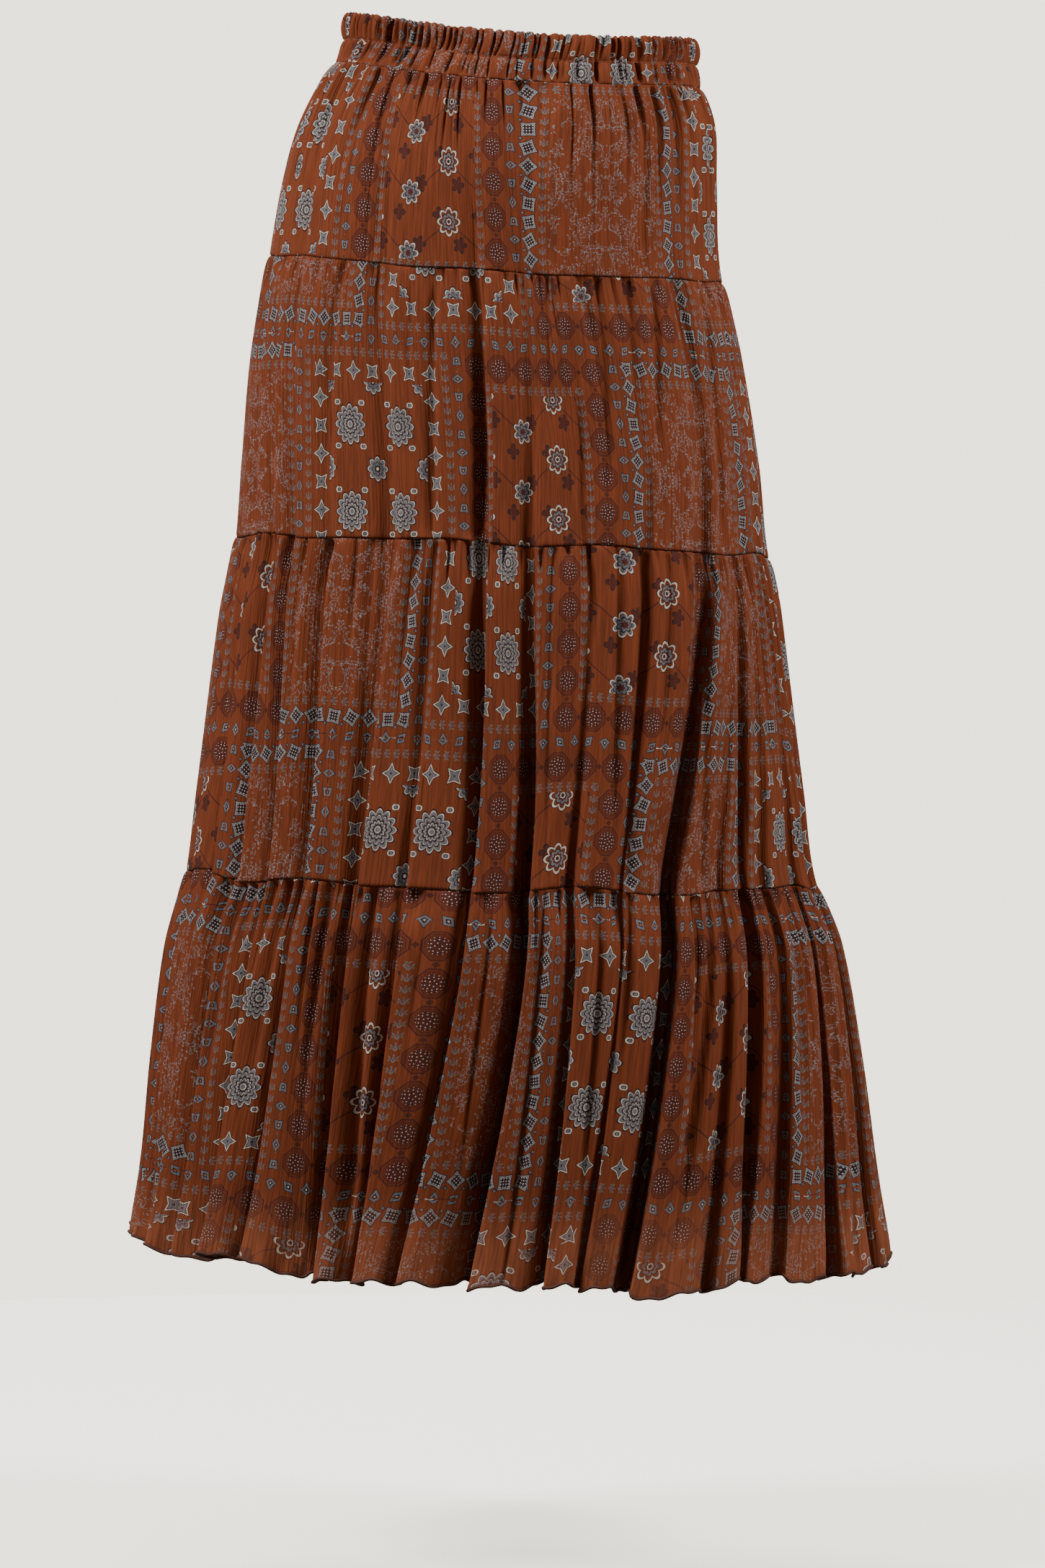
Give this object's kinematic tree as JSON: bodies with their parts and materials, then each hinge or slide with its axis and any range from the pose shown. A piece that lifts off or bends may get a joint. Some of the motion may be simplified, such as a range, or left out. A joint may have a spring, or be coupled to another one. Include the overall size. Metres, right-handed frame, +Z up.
{
  "type": "tiered ruffle skirt",
  "caption": "Long tiered ruffle skirt in rust patchwork-print crinkle cloth with an elasticated waistband and a rolled hem, standing hollow in its worn shape",
  "frame": {"origin": "centre of the waistband's ring, halfway up its height at the side seams, where the wearer holds the skirt", "axes": "+Z up along the wearer, +Y towards the back of the skirt, -Y its front, +X the wearer's left"},
  "size_m": [0.5508, 0.4396, 0.9109],
  "materials": {
    "waistband_back": "printed crinkle rayon gathered over elastic",
    "waistband_front": "printed crinkle rayon gathered over elastic",
    "tier1_back": "printed crinkle rayon, gathered",
    "tier1_front": "printed crinkle rayon, gathered",
    "tier2_back": "printed crinkle rayon, gathered",
    "tier2_front": "printed crinkle rayon, gathered",
    "tier3_back": "printed crinkle rayon, gathered",
    "tier3_front": "printed crinkle rayon, gathered",
    "tier4_back": "printed crinkle rayon, gathered",
    "tier4_front": "printed crinkle rayon, gathered"
  },
  "bodies": {
    "root": {"waistband_back": "waistband_back", "waistband_front": "waistband_front", "tier1_back": "tier1_back", "tier1_front": "tier1_front", "tier2_back": "tier2_back", "tier2_front": "tier2_front", "tier3_back": "tier3_back", "tier3_front": "tier3_front", "tier4_back": "tier4_back", "tier4_front": "tier4_front"}
  },
  "joints": []
}
